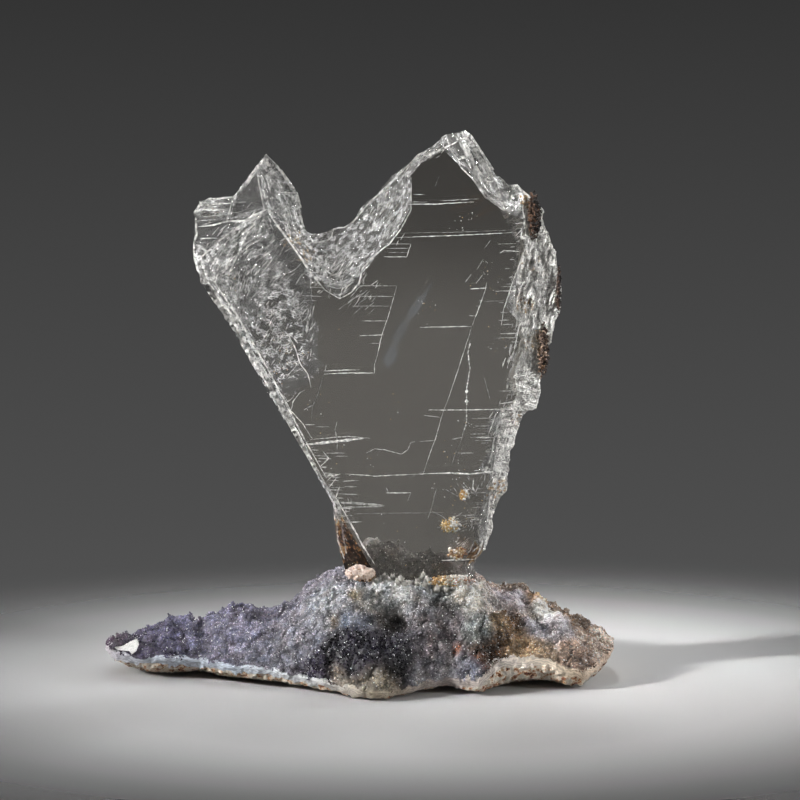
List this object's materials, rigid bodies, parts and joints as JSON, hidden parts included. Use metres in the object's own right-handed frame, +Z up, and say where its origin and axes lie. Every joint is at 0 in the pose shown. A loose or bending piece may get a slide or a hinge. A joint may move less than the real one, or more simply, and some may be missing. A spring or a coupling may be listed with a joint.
{
  "type": "selenite crystal on druse matrix",
  "caption": "Clear tabular selenite blade with a V-shaped broken top, standing in a mound of amethyst and quartz druse on a banded chalcedony rind.",
  "frame": {"origin": "middle of the underside of the box round the whole specimen", "axes": "+Z up along the blade, +X to the right across the blade's broad face, +Y away from the viewer through the blade's thickness"},
  "size_m": [0.2442, 0.1128, 0.2581],
  "materials": {
    "selenite": "clear cleavage faces with broken, frosted edges",
    "druse": "sparkling small crystals",
    "calcite": "dull, rounded",
    "sugary_calcite": "sugary, granular",
    "honey_calcite": "sugary, granular",
    "iron_oxide": "earthy, matt"
  },
  "bodies": {
    "root": {"selenite_blade": "selenite", "druse_matrix": "druse", "calcite_nodule": "calcite", "foot_crust": "sugary_calcite", "honey_cluster_upper": "honey_calcite", "honey_cluster_middle": "honey_calcite", "honey_cluster_lower": "honey_calcite", "iron_crust_shoulder": "iron_oxide", "iron_crust_side": "iron_oxide", "iron_crust_waist": "iron_oxide"}
  },
  "joints": []
}
